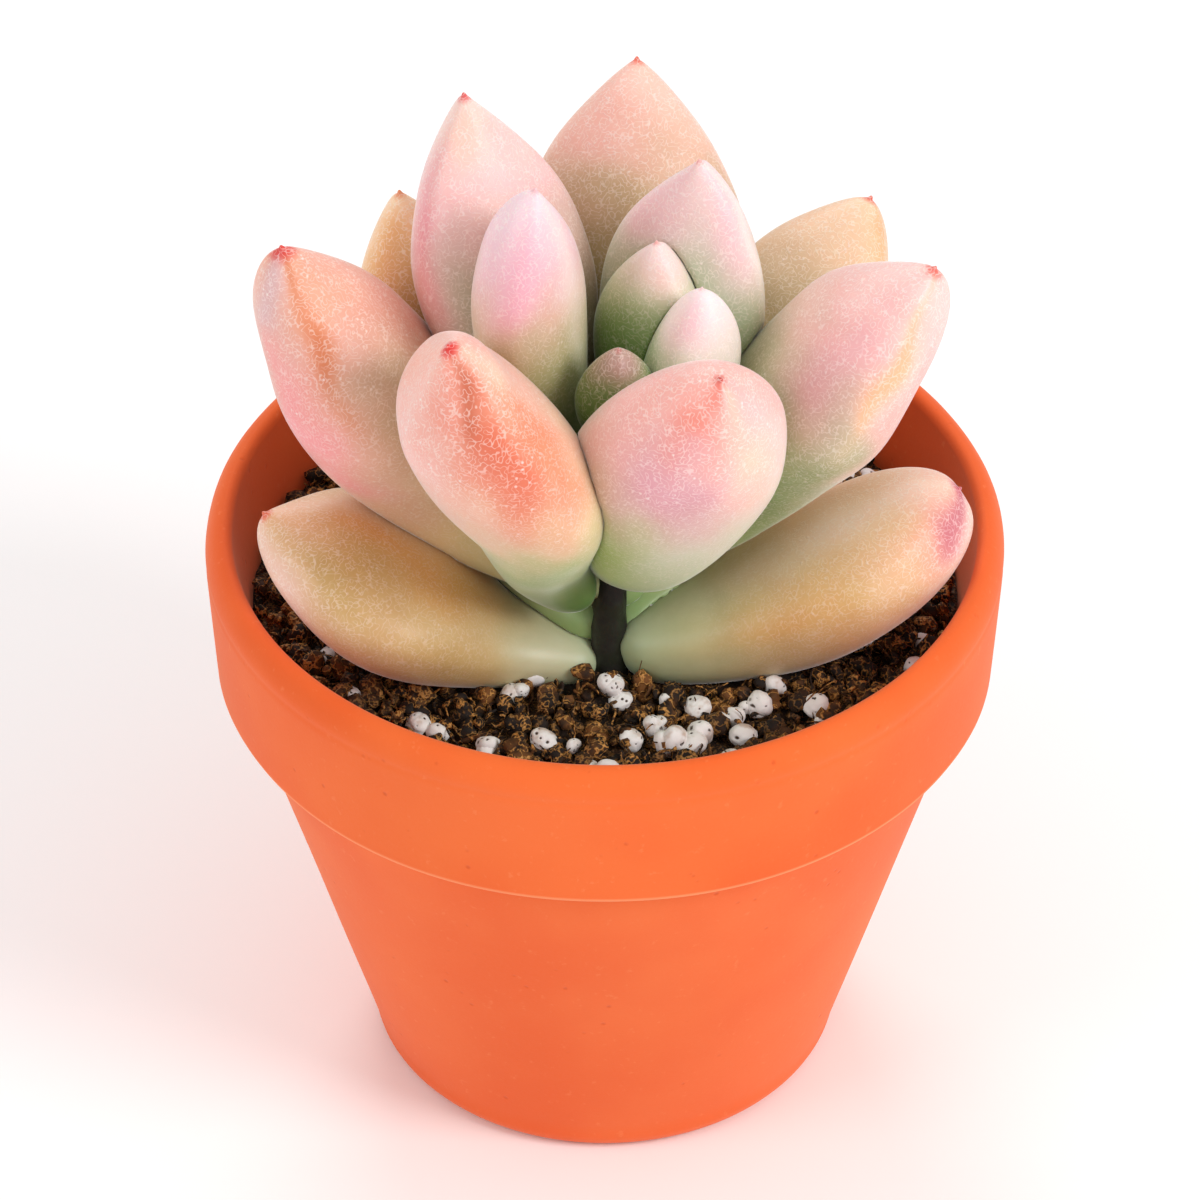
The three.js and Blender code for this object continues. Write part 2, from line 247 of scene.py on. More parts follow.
def potProfile(rim, height):
    # radius and height round the wall: base, body, step, band, lip, inside, floor and drain hole
    shoulder, turn, bandFoot, bodyTop, floorRadius = potRadii(rim, height)
    foot, outer, inner, soft = (pot[key] for key in ("baseRounding", "lipOuter", "lipInner", "edgeRounding"))
    drain, floor = pot["drainRadius"], pot["floor"]
    base = arc((pot["baseRadius"] - foot[0], foot[1]), foot, -90, 0, 9)
    lipOuter = arc((rim - outer[0], height - outer[1]), outer, 0, 90, 12)
    lipInner = arc((rim - pot["rimWall"] + inner[0], height - inner[1]), inner, 90, 180, 9)
    edge = arc((bandFoot - soft, shoulder + soft), (soft, soft), -90, 0, 6)
    corner = arc((bodyTop + soft, shoulder - soft), (soft, soft), 180, 90, 5)
    below, width, depth = pot["groove"]
    side = line(edge[-1], lipOuter[0], 40)
    side[:, 0] -= depth * np.exp(-(((side[:, 1] - height + below) / width) ** 2))
    innerTurn = (bandFoot - pot["bandWall"], turn)
    parts = [
        np.array([[drain, 0]]), line((drain, 0), base[0], 6), base[1:],
        line(base[-1], corner[0], 26), corner[1:], line(corner[-1], edge[0], 2), edge[1:],
        side, lipOuter[1:], line(lipOuter[-1], lipInner[0], 2), lipInner[1:],
        line(lipInner[-1], innerTurn, 8), line(innerTurn, (floorRadius, floor), 14),
        line((floorRadius, floor), (drain, floor), 5), line((drain, floor), (drain, 0), 3)[:-1],
    ]
    return np.concatenate(parts)


def buildPot():
    profile = potProfile(*potSize())
    angle = roundAngles(pot["segments"])
    radius, z = profile[:, :1], profile[:, 1:]
    points = np.stack([radius * np.cos(angle), radius * np.sin(angle), z + 0 * angle], -1)
    # hand-thrown unevenness: none on the base, so that the pot stands flat
    wobble = softNoise(points, pot["wobbleSize"], 3) * pot["wobble"] * smoothStep(points[..., 2], 1, 6)
    outward = np.stack([np.cos(angle), np.sin(angle), 0 * angle], -1)
    points = (points + outward * wobble[..., None]).reshape(-1, 3) * mm
    rows = len(profile)
    faces = ringFaces(rows, pot["segments"])
    last = (rows - 1) * pot["segments"]
    column = np.arange(pot["segments"])
    nextColumn = (column + 1) % pot["segments"]
    closing = np.stack([last + column, last + nextColumn, nextColumn, column], -1)
    piece = makePiece("terracottaPot", points, np.concatenate([faces, closing]))
    piece.data.materials.append(terracotta())
    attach(piece, "root")
    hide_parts("pot")
    print("pot built")


def innerRadius(z):
    # inside radius of the pot at a height, from the floor to the turn under the band and on to the lip
    rim, height = potSize()
    _, turn, bandFoot, _, floorRadius = potRadii(rim, height)
    radii = (floorRadius, bandFoot - pot["bandWall"], rim - pot["rimWall"])
    return np.interp(z, (pot["floor"], turn, height), radii)


def terracotta():
    # fired clay: warm orange with soft paler and deeper clouds, fine sand grain and tiny pits
    material, tree, shader = startMaterial("terracotta")
    place = objectPlace(tree)
    clouds = spread(tree, noiseAt(tree, place, 34, 3, 0.55), 0.34, 0.7)
    broad = spread(tree, noiseAt(tree, place, 14, 2, 0.5), 0.3, 0.75)
    grain = noiseAt(tree, place, 2600, 2, 0.6)
    sand = spread(tree, noiseAt(tree, place, 900, 3, 0.6), 0.62, 0.75)
    pit = spread(tree, dotsAt(tree, place, 520.0), 0.05, 0.2, 1.0, 0.0)
    # pits are rare, but for the worn line under the lip
    height = addNode(tree, "ShaderNodeSeparateXYZ", {"Vector": place}).outputs["Z"]
    top = potSize()[1]
    fromLip = awayFrom(tree, height, (top - pot["groove"][0]) * mm)
    worn = spread(tree, fromLip, 0.0003, 0.0008, 0.6, 0.0)
    rare = mathNode(tree, "MAXIMUM", spread(tree, noiseAt(tree, place, 210, 1, 0.5), 0.6, 0.66), worn)
    pit = mathNode(tree, "MULTIPLY", pit, rare)
    # a painted highlight: a pale line along the band's lower edge
    fromEdge = awayFrom(tree, height, (top - pot["bandHeight"] + pot["highlightLift"]) * mm)
    edgeHighlight = spread(tree, fromEdge, 0.0001, 0.0004, 0.7, 0.0)
    colour = mixColour(tree, mathNode(tree, "MULTIPLY", clouds, 0.45), pot["clay"], pot["pale"])
    colour = mixColour(tree, mathNode(tree, "MULTIPLY", broad, 0.25), colour, pot["deep"])
    colour = mixColour(tree, mathNode(tree, "MULTIPLY", sand, 0.2), colour, pot["dustAndHighlight"])
    colour = mixColour(tree, edgeHighlight, colour, pot["dustAndHighlight"])
    colour = mixColour(tree, mathNode(tree, "MULTIPLY", pit, 0.55), colour, pot["deep"])
    tree.links.new(colour, shader.inputs["Base Color"])
    relief = mathNode(tree, "SUBTRACT", mathNode(tree, "MULTIPLY", grain, 0.35), pit)
    addBump(tree, shader, relief, 0.35, 0.00012)
    rough = mathNode(tree, "ADD", mathNode(tree, "MULTIPLY", grain, 0.2), 0.68)
    tree.links.new(rough, shader.inputs["Roughness"])
    setInputs(shader, {
        "Specular IOR Level": 0.3, "Sheen Weight": 0.22, "Sheen Roughness": 0.5,
        "Sheen Tint": (1.0, 0.72, 0.55, 1.0),
    })
    return material


plant = {
    "stemFoot": (0.4, -12.5), "stemSlope": 0.16, "stemRadii": (3.2, 2.2), "stemHeight": 28.0,
    "clearance": 0.3, "neckWidth": 5.4, "neckDepth": 4.6, "slimWidth": 14.0, "neckEnd": 0.07,
    "neckFade": 0.45, "outerShare": 0.6,
    "rows": 90, "columns": 80, "mucroLength": 0.35, "mucroRadius": 0.42, "pressGap": 0.12, "clasp": 2.6,
    "loose": ("leaf_front_left",),  # leaves whose feet aren't pulled in to the stem
    "mucroTaper": 2.2, "mucroFullWidth": 16, "keelWidth": 0.28, "keelHeight": 0.07,
    "fleshSwell": 0.018, "fleshSize": 11.0,
}

# direction, lean, length, width, depth, curl, roll, foot height, bluntness
leafHabits = {
    "leaf_low_left": (173, 28.5, 36.5, 21.5, 12.5, 29, 3, 0.6, 0.8),
    "leaf_low_right": (12, 25, 35.3, 19.5, 14, 18, -10, 2, 0.5),
    "leaf_front_left": (212, 60, 47.5, 22.5, 14.5, -10, -7, 9, 0.82),
    "leaf_front_right": (295, 62, 45.5, 21, 15.5, -10, -10, 12.5, 0.62),
    "leaf_left": (172, 56, 49.5, 20, 15.5, 27, -8, 8, 0.78),
    "leaf_right": (-1, 56, 48.7, 20, 14, 0, 13, 10, 0.75),
    "leaf_inner_left": (169, 84, 35, 14, 10.5, 22, -11, 21, 0.9),
    "leaf_back_left": (129, 65, 46, 18.5, 13, 19, -6, 15, 0.92),
    "leaf_core_right": (-12, 76, 26, 11, 9, 12, 14, 21, 0.77),
    "leaf_core_back": (52, 80, 26.5, 12, 8.5, 8, 0, 20, 0.8),
    "leaf_core_bud": (278, 78, 17, 8, 6, 0, 2, 25, 0.7),
    "leaf_inner_right": (50, 74, 39.2, 17.6, 9.5, 40, 9, 16, 0.9),
    "leaf_back": (86, 50, 48, 23, 16, 24, -6, 13, 0.82),
    "leaf_outer_back_left": (132, 48, 43, 17, 13, 45, 0, 11, 0.85),
    "leaf_outer_back_right": (45, 45, 43.5, 17.5, 13, 2, 10, 10, 0.65),
    "leaf_low_back_left": (132, 20, 34.5, 16, 12.5, 18, 0, 4, 0.72),
    "leaf_low_back_right": (50, 20, 34.5, 16, 12.5, 18, 0, 4, 0.72),
    "leaf_low_back": (92, 13, 35.5, 15, 12, 18, 0, 3.5, 0.72),
    "leaf_mid_back_left": (112, 30, 37.5, 14, 11, 15, 0, 7, 0.78),
    "leaf_mid_back_right": (72, 28, 37.5, 14, 11, 15, 0, 7, 0.78),
}

# leaves that stray from their arc: the shift of the blade, the shift of the tip, and how far the waist
# is drawn in on the side that faces the front
strays = {
    "leaf_low_left": ((1.2, -1.8, 1.8), (0, -0.9, -1.1), 0),
    "leaf_front_left": ((4.4, -3.5, 2.8), (3.4, 0, 0), 0),
    "leaf_front_right": ((0, 2.9, -2.9), (0, 0, 0), 0),
    "leaf_left": ((0, 2.2, -1.8), (-1.2, 0, -0.4), 0.6),
    "leaf_right": ((0, 0, 0), (0.6, 0, -1.4), 0.5),
    "leaf_inner_left": ((-0.5, 0, 0), (-0.3, 0, 0), 0),
    "leaf_back_left": ((0, 0, -0.6), (0, 0, 0), 0),
    "leaf_inner_right": ((-0.9, 0, 0), (0.9, 0, 0), 0),
    "leaf_back": ((0.5, 0, -0.6), (-0.1, 0, 0), 0),
    "leaf_outer_back_left": ((-0.4, 0, -1.3), (0.6, 0, -0.4), 0),
    "leaf_outer_back_right": ((1.2, 0, -0.9), (0.6, 0, -0.6), 0),
}
straight = ((0, 0, 0), (0, 0, 0), 0)
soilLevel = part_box("soil_bed")[1].z / mm - 0.7


def stemRadius(rise):
    return np.interp(rise, (0, plant["stemHeight"]), plant["stemRadii"])


def stemCentre(rise):
    foot = plant["stemFoot"]
    return np.array([foot[0], foot[1] + plant["stemSlope"] * rise, soilLevel + rise])


def leafSection(t, habit):
    # half-width, inner depth and outer depth: a sine swelling beyond the middle, with a narrow neck
    width, depth, blunt = habit[3], habit[4], habit[8]
    rise = np.sqrt(1 - (1 - np.clip(t / plant["neckEnd"], 0, 1)) ** 2)
    neck = rise * (1 - smoothStep(t, plant["neckEnd"], plant["neckEnd"] + plant["neckFade"]))
    neck = neck * min(1, width / plant["slimWidth"])

    def swell(shift, power):
        return np.sin(math.pi * np.clip(t, 0, 1) ** shift).clip(0) ** power

    neckDepth = plant["neckDepth"] / 2 * neck
    half = np.hypot(width / 2 * swell(1.3, blunt), plant["neckWidth"] / 2 * neck)
    inner = np.hypot(depth * (1 - plant["outerShare"]) * swell(1.28, 0.8 * blunt), neckDepth)
    outer = np.hypot(depth * plant["outerShare"] * swell(1.25, 0.7 * blunt), neckDepth)
    return half, inner, outer


def leafSpine(t, name):
    # middle of the leaf near its arc, with the ways that it runs, spreads and faces inwards
    azimuth, lean, length, _, _, curl, roll, rise = leafHabits[name][:8]
    bladeShift, tipShift, _ = strays.get(name, straight)
    out = np.array([math.cos(math.radians(azimuth)), math.sin(math.radians(azimuth)), 0])
    up = np.array([0, 0, 1.0])
    across = np.array([-out[1], out[0], 0])
    foot = stemCentre(rise) + out * (stemRadius(rise) + plant["clearance"])
    bend, start = math.radians(curl), math.radians(lean - curl / 2)
    chord = length * t * np.sinc(bend * t / 2 / math.pi)
    middle = start + bend * t / 2
    centre = foot + chord[:, None] * (np.cos(middle)[:, None] * out + np.sin(middle)[:, None] * up)
    clasp = 0 if name in plant["loose"] else plant["clasp"]
    centre = centre - out * (clasp * (1 - smoothStep(t, 0, 0.25)))[:, None]
    centre = centre + np.array(bladeShift) * smoothStep(t, 0.1, 0.5)[:, None]
    centre = centre + np.array(tipShift) * smoothStep(t, 0.75, 1)[:, None]
    angle = (start + bend * t)[:, None]
    forward = np.cos(angle) * out + np.sin(angle) * up
    inward = -np.sin(angle) * out + np.cos(angle) * up
    turn = math.radians(roll)
    side = math.cos(turn) * across + math.sin(turn) * inward
    face = -math.sin(turn) * across + math.cos(turn) * inward
    return centre, forward, side, face


def drawnIn(t, angle, name):
    # how far the section is drawn in at the waist, on the side that faces the front
    front = -np.sign(math.cos(math.radians(leafHabits[name][0])))
    facing = np.clip(front * np.cos(angle), 0, 1) ** 2
    return 1 - strays.get(name, straight)[2] * (1 - smoothStep(t, 0.25, 0.65)) * facing


def sectionPlace(points, name, grow=0.0):
    # where points lie in the leaf's section nearest to each: the section's middle, its two ways and
    # its sizes there
    samples = np.linspace(0, 1, 41)
    habit = leafHabits[name]
    centre, forward, _, _ = leafSpine(samples, name)
    nearest = ((points[:, None, :] - centre[None]) ** 2).sum(-1).argmin(1)
    along = ((points - centre[nearest]) * forward[nearest]).sum(-1) / habit[2]
    t = np.clip(samples[nearest] + along, 0, 1)
    centre, forward, side, face = leafSpine(t, name)
    away = points - centre
    x, y = (away * side).sum(-1), (away * face).sum(-1)
    beyond = np.abs((away * forward).sum(-1))
    half, inner, outer = leafSection(t, habit)
    slim = drawnIn(t, np.arctan2(y, x), name)
    half, depth = half * slim + grow, np.where(y > 0, inner, outer) * slim + grow
    share = np.where(beyond > 0.3, 9.0, np.hypot(x / half, y / depth))
    return share, centre, side, face, x, y, half, depth


def giveWay(points, middles, name, grow):
    # points inside the other leaf slide out of it, in the way from its middle to their own middle
    for _ in range(2):
        share, centre, side, face, x, y, half, depth = sectionPlace(points, name, grow)
        towards = middles - centre
        dx, dy = (towards * side).sum(-1), (towards * face).sum(-1)
        size = np.hypot(dx, dy) + 1e-6
        dx, dy = dx / size, dy / size
        a = (dx / half) ** 2 + (dy / depth) ** 2
        b = x * dx / half ** 2 + y * dy / depth ** 2
        slide = (-b + np.sqrt(np.maximum(b * b - a * (share ** 2 - 1), 0))) / a
        slide = np.where(share < 1, slide, 0)[:, None]
        points = points + slide * (dx[:, None] * side + dy[:, None] * face)
    return points


def buildLeafShape(name, earlier):
    habit = leafHabits[name]
    length, width = habit[2], habit[3]
    rows, columns = plant["rows"], plant["columns"]
    tipShare = plant["mucroLength"] / length
    u = np.linspace(0, 1, rows)
    t = (1 - np.cos(math.pi * u)) / 2 * (1 + tipShare)
    angle = roundAngles(columns)  # 0 and pi at the two margins
    centre, forward, side, face = leafSpine(t, name)
    half, inner, outer = leafSection(t, habit)
    # the point at the tip: a thin cone that the blade runs into
    taper = np.clip((1 + tipShare - t) / (plant["mucroTaper"] * tipShare), 0, 1)
    cone = plant["mucroRadius"] * min(1, width / plant["mucroFullWidth"]) * np.sqrt(taper)
    cone = cone * smoothStep(t, 0.9, 1.0)
    half, inner, outer = (np.hypot(size, cone) for size in (half, inner, outer))
    sine, cosine = np.sin(angle), np.cos(angle)
    depth = np.where(sine > 0, inner[:, None], outer[:, None])
    # a soft keel down the outer side, sharpest near the tip
    keel = np.exp(-(((angle - 1.5 * math.pi) / plant["keelWidth"]) ** 2)) * smoothStep(t, 0.5, 0.9)[:, None]
    depth = depth * (1 + plant["keelHeight"] * keel)
    slim = drawnIn(t[:, None], angle, name)
    points = centre[:, None] + side[:, None] * (half[:, None] * slim * cosine)[..., None]
    points = points + face[:, None] * (depth * slim * sine)[..., None]
    # slow swellings of the flesh
    seed = sorted(leafHabits).index(name) + 11
    middle = centre[:, None] + 0 * points
    swell = plant["fleshSwell"] * softNoise(points, plant["fleshSize"], seed)
    swell = swell * smoothStep(t, 0.1, 0.3)[:, None]
    points = middle + (points - middle) * (1 + swell)[..., None]
    points, middle = points.reshape(-1, 3), middle.reshape(-1, 3)
    # it gives way where it is pressed by the leaves before it
    for other in earlier:
        points = giveWay(points, middle, other, plant["pressGap"])
    return t, angle, points


def buildLeaf(name, earlier):
    t, angle, points = buildLeafShape(name, earlier)
    rows, columns = plant["rows"], plant["columns"]
    ends = np.stack([points[:columns].mean(0), points[-columns:].mean(0)])
    points = np.concatenate([points, ends])
    faces = ringFaces(rows, columns)[:, ::-1]
    column = np.arange(columns)
    nextColumn = (column + 1) % columns
    last = (rows - 1) * columns
    foot, tip = rows * columns, rows * columns + 1
    caps = np.concatenate([
        np.stack([column, nextColumn, np.full(columns, foot)], -1),
        np.stack([last + nextColumn, last + column, np.full(columns, tip)], -1),
    ])
    piece = makePiece("succulent_" + name, points * mm, faces.tolist() + caps.tolist())
    along = np.append(np.repeat(t, columns), [0, 1.0])
    around = np.append(np.tile(angle, rows), [0, 1.5 * math.pi])
    paintLeaf(piece, name, along, around, points)
    return piece


# base colours of each leaf at its foot, low, middle, high and tip, then washes laid over them:
# colour, place along (0 foot, 1 tip) and its spread, place round (0 keel, 180 inner face) and its
# spread, and strength
# the dark greens at the feet are partly the leaves' own deeper green and partly painted shade near the stem
leafPaint = {
    "leaf_low_left": {
        "base": [(180, 192, 152), (230, 204, 156), (228, 192, 146), (226, 188, 140), (240, 200, 164)],
        "washes": [
            ((196, 158, 88), 0.34, 0.16, 90, 24, 0.5), ((196, 160, 84), 0.78, 0.12, 122, 26, 0.5),
            ((246, 180, 108), 0.48, 0.16, 170, 20, 0.6), ((242, 172, 108), 0.74, 0.08, 172, 16, 0.5),
            ((242, 204, 192), 0.86, 0.14, 48, 30, 0.8), ((252, 226, 212), 0.7, 0.35, -158, 12, 0.6),
            ((212, 208, 180), 0.12, 0.07, 130, 60, 0.6),
        ],
        "point": (232, 110, 84), "pointSize": 0.9,
    },
    "leaf_low_right": {
        "base": [(176, 190, 150), (216, 200, 152), (238, 204, 158), (242, 206, 168), (250, 202, 182)],
        "washes": [
            ((224, 166, 92), 0.42, 0.15, -105, 22, 0.6), ((216, 172, 100), 0.62, 0.08, -90, 18, 0.4),
            ((204, 104, 128), 0.955, 0.035, -84, 26, 0.75), ((252, 228, 214), 0.72, 0.3, -166, 14, 0.7),
            ((250, 216, 204), 0.84, 0.14, -46, 14, 0.7), ((240, 158, 140), 0.86, 0.07, -96, 24, 0.35),
        ],
        "point": (206, 90, 110), "pointSize": 1.2,
    },
    "leaf_front_left": {
        "base": [(116, 160, 84), (188, 208, 140), (238, 210, 172), (244, 186, 168), (250, 196, 180)],
        "washes": [
            # the narrow brown streak near the tip (round 76) is a painted shadow along the keel, and the pale
            # peach wash (round 140) a painted highlight beside it
            ((230, 112, 78), 0.77, 0.13, 88, 26, 0.8), ((252, 212, 210), 0.74, 0.16, 0, 30, 0.6),
            ((255, 224, 200), 0.88, 0.08, 140, 22, 0.8), ((246, 150, 108), 0.72, 0.1, 122, 16, 0.6),
            ((200, 98, 62), 0.9, 0.06, 76, 9, 0.6), ((240, 132, 110), 0.94, 0.05, 44, 18, 0.4),
            ((156, 184, 100), 0.3, 0.1, 36, 30, 0.5),
        ],
        "point": (228, 52, 48), "pointSize": 1.1,
    },
    "leaf_front_right": {
        "base": [(146, 182, 106), (198, 212, 162), (226, 222, 196), (242, 200, 194), (250, 196, 186)],
        "washes": [
            ((166, 190, 92), 0.42, 0.18, -48, 16, 0.75), ((228, 160, 178), 0.78, 0.11, -34, 26, 0.7),
            ((244, 146, 128), 0.955, 0.045, -44, 26, 0.75), ((255, 214, 186), 0.86, 0.09, 30, 16, 0.7),
            ((250, 232, 222), 0.6, 0.25, 66, 16, 0.5), ((244, 190, 192), 0.93, 0.05, 60, 20, 0.4),
        ],
        "point": (206, 76, 66), "pointSize": 0.5,
    },
    "leaf_left": {
        "base": [(190, 198, 144), (232, 204, 156), (234, 190, 164), (242, 180, 162), (246, 194, 174)],
        "washes": [
            ((250, 156, 166), 0.66, 0.13, 58, 20, 0.75), ((224, 128, 76), 0.85, 0.1, 108, 10, 0.8),
            ((230, 200, 204), 0.92, 0.05, 58, 20, 0.75), ((206, 194, 162), 0.6, 0.14, 150, 22, 0.75),
            ((246, 176, 140), 0.93, 0.05, 140, 26, 0.5), ((242, 190, 176), 0.8, 0.08, 150, 20, 0.4),
        ],
        "point": (226, 72, 66), "pointSize": 1.5,
    },
    "leaf_right": {
        "base": [(140, 164, 100), (156, 172, 116), (196, 192, 152), (246, 200, 192), (252, 214, 208)],
        "washes": [
            # the first wash, dark green low on the leaf, is painted shade
            ((122, 152, 92), 0.38, 0.16, -105, 60, 0.6), ((240, 176, 188), 0.74, 0.1, -140, 22, 0.55),
            ((252, 192, 138), 0.82, 0.1, -84, 9, 0.75), ((250, 178, 176), 0.7, 0.16, -46, 16, 0.6),
            ((252, 214, 200), 0.85, 0.08, -66, 10, 0.5),
        ],
        "point": (232, 112, 100), "pointSize": 1.1,
    },
    "leaf_inner_left": {
        "base": [(140, 162, 92), (172, 178, 122), (218, 202, 166), (246, 210, 216), (252, 226, 232)],
        "washes": [
            ((242, 184, 204), 0.76, 0.1, 102, 26, 0.75), ((170, 176, 118), 0.5, 0.1, 150, 40, 0.5),
            ((250, 236, 230), 0.75, 0.25, 176, 12, 0.6), ((244, 196, 176), 0.66, 0.07, 150, 18, 0.4),
        ],
        "point": (246, 190, 196), "pointSize": 0.6,
    },
    "leaf_back_left": {
        "base": [(150, 164, 112), (172, 172, 132), (202, 176, 154), (248, 206, 204), (252, 224, 216)],
        "washes": [
            ((240, 156, 166), 0.72, 0.12, 98, 16, 0.8), ((240, 178, 170), 0.6, 0.08, 80, 20, 0.5),
            ((176, 176, 152), 0.54, 0.1, 150, 24, 0.7), ((250, 206, 184), 0.95, 0.04, 140, 40, 0.5),
        ],
        "point": (228, 92, 92), "pointSize": 0.9,
    },
    "leaf_core_right": {
        "base": [(104, 136, 74), (116, 148, 86), (176, 196, 146), (236, 228, 218), (252, 236, 236)],
        "washes": [((246, 200, 210), 0.9, 0.06, -112, 30, 0.6), ((150, 176, 116), 0.62, 0.1, 176, 26, 0.7)],
        "point": (250, 214, 214), "pointSize": 0.5,
    },
    "leaf_core_back": {
        "base": [(82, 116, 52), (96, 132, 66), (146, 172, 112), (216, 218, 186), (252, 230, 226)],
        "washes": [((104, 142, 72), 0.62, 0.1, 178, 36, 0.75), ((248, 208, 206), 0.92, 0.06, -140, 30, 0.5)],
        "point": (246, 180, 176), "pointSize": 0.5,
    },
    "leaf_core_bud": {
        "base": [(80, 116, 50), (92, 128, 60), (118, 150, 82), (134, 156, 98), (192, 164, 150)],
        "washes": [((206, 160, 160), 0.94, 0.04, 10, 50, 0.5)],
        "point": (204, 130, 130), "pointSize": 0.5,
    },
    "leaf_inner_right": {
        "base": [(112, 144, 84), (134, 162, 104), (182, 196, 154), (234, 218, 210), (252, 222, 222)],
        "washes": [
            ((250, 202, 212), 0.84, 0.1, -112, 24, 0.6), ((168, 198, 154), 0.58, 0.11, -166, 30, 0.7),
            ((244, 196, 202), 0.84, 0.09, 140, 22, 0.6), ((255, 242, 236), 0.8, 0.2, -76, 9, 0.6),
        ],
        "point": (240, 180, 178), "pointSize": 0.6,
    },
    "leaf_back": {
        "base": [(132, 142, 84), (146, 150, 94), (184, 166, 118), (240, 200, 178), (252, 212, 196)],
        "washes": [((246, 184, 176), 0.86, 0.08, 150, 30, 0.5), ((190, 166, 122), 0.66, 0.08, 178, 40, 0.6)],
        "point": (232, 112, 92), "pointSize": 1.0,
    },
    "leaf_outer_back_left": {
        "base": [(146, 150, 88), (180, 162, 98), (216, 184, 126), (242, 200, 146), (252, 218, 184)],
        "washes": [((232, 168, 104), 0.84, 0.08, 120, 24, 0.6), ((196, 160, 112), 0.74, 0.08, 150, 26, 0.5)],
        "point": (232, 150, 110), "pointSize": 0.8,
    },
    "leaf_outer_back_right": {
        "base": [(146, 152, 96), (172, 160, 108), (204, 182, 138), (240, 210, 178), (252, 216, 184)],
        "washes": [((248, 178, 124), 0.92, 0.06, -100, 24, 0.6), ((196, 174, 138), 0.7, 0.08, 176, 34, 0.5)],
        "point": (222, 90, 72), "pointSize": 1.0,
    },
    "others": {
        "base": [(150, 176, 116), (196, 192, 140), (226, 192, 148), (238, 190, 160), (246, 194, 172)],
        "washes": [((226, 158, 108), 0.6, 0.15, 30, 30, 0.5), ((240, 180, 176), 0.82, 0.1, -50, 30, 0.5)],
        "point": (224, 96, 84), "pointSize": 0.9,
    },
}
# where the base colours lie, how far the washes wander along and round, and the reach of the red point
brush = {
    "stops": (0.05, 0.28, 0.52, 0.8, 0.97), "wander": 0.035, "wanderSize": 6.0, "twist": 9, "twistSize": 7.0,
    "pointReach": (0.35, 1.5), "pointStrength": 0.9,
}


def paintLeaf(piece, name, along, angle, points):
    # base colours, then each wash fading out as a bell along and round the leaf, then the point
    paint = leafPaint.get(name, leafPaint["others"])
    seed = sorted(leafHabits).index(name) + 300
    t = along + brush["wander"] * softNoise(points, brush["wanderSize"], seed) * smoothStep(along, 0.1, 0.3)
    # degrees round from the keel, on the outer side
    turn = np.degrees(angle) - 270 + brush["twist"] * softNoise(points, brush["twistSize"], seed + 1)
    colour = np.stack([np.interp(t, brush["stops"], channel) for channel in zip(*paint["base"])], -1)
    for wash, place, spreadAlong, way, spreadRound, strength in paint["washes"]:
        away = (turn - way + 180) % 360 - 180
        amount = strength * np.exp(-((t - place) / spreadAlong) ** 2 / 2 - (away / spreadRound) ** 2 / 2)
        colour = colour + (np.array(wash) - colour) * amount[:, None]
    fromTip = np.linalg.norm(points - points[-1], axis=-1)
    red = 1 - smoothStep(fromTip, *(reach * paint["pointSize"] for reach in brush["pointReach"]))
    colour = colour + (np.array(paint["point"]) - colour) * (brush["pointStrength"] * red)[:, None]
    values = np.concatenate([linearLight(colour), np.ones((len(colour), 1))], -1)
    attribute = piece.data.color_attributes.new("blush", "FLOAT_COLOR", "POINT")
    attribute.data.foreach_set("color", values.astype(np.float32).ravel())
    # how waxy the skin is: bare near the foot, and most near the tip
    addAttribute(piece, "wax", smoothStep(along, 0.1, 0.42) * (0.6 + 0.4 * smoothStep(along, 0.5, 0.95)))


def bloomGroup():
    # the powdery bloom: winding pale lines of wax, broken here and there, and white grains
    group, into, out = startGroup("waxBloom", [
        ("Color", "NodeSocketColor", None), ("Wax", "NodeSocketFloat", 1.0),
        ("Lines", "NodeSocketFloat", 0.3), ("Grains", "NodeSocketFloat", 0.5),
        ("Mottle", "NodeSocketFloat", 0.1),
    ], [("Color", "NodeSocketColor"), ("Bloom", "NodeSocketFloat"), ("Height", "NodeSocketFloat")])
    place = objectPlace(group)
    wax = into.outputs["Wax"]
    # lines lie where a smooth noise crosses its middle value
    wave = noiseAt(group, place, 2300, 0.0, 0.5)
    line = spread(group, awayFrom(group, wave, 0.5), 0.01, 0.085, 1.0, 0.0)
    broken = spread(group, noiseAt(group, place, 1300, 1, 0.5), 0.3, 0.55, 0.35, 1.0)
    line = mathNode(group, "MULTIPLY", line, broken)
    line = mathNode(group, "MULTIPLY", line, wax)
    dots = spread(group, dotsAt(group, place, 1300.0), 0.1, 0.26, 1.0, 0.0)
    sparse = spread(group, noiseAt(group, place, 330, 2, 0.6), 0.5, 0.64)
    dots = mathNode(group, "MULTIPLY", mathNode(group, "MULTIPLY", dots, sparse), wax)
    cloud = noiseAt(group, place, 240, 4, 0.62)
    deep = mathNode(group, "MULTIPLY", spread(group, cloud, 0.36, 0.7), into.outputs["Mottle"])
    colour = mixColour(group, 1.0, into.outputs["Color"], into.outputs["Color"], "MULTIPLY")
    colour = mixColour(group, deep, into.outputs["Color"], colour)
    gaps = mathNode(group, "MULTIPLY", mathNode(group, "SUBTRACT", 1.0, line), 0.2)
    gaps = mathNode(group, "MULTIPLY", gaps, wax)
    darker = mixColour(group, 1.0, colour, colour, "MULTIPLY")
    colour = mixColour(group, gaps, colour, darker)
    pale = rgb(255, 240, 234)
    colour = mixColour(group, mathNode(group, "MULTIPLY", line, into.outputs["Lines"]), colour, pale)
    colour = mixColour(group, mathNode(group, "MULTIPLY", dots, into.outputs["Grains"]), colour, pale)
    height = mathNode(group, "ADD", mathNode(group, "MULTIPLY", line, 0.6), dots)
    height = mathNode(group, "ADD", height, mathNode(group, "MULTIPLY", cloud, 1.5))
    group.links.new(colour, out.inputs["Color"])
    group.links.new(line, out.inputs["Bloom"])
    group.links.new(height, out.inputs["Height"])
    return group


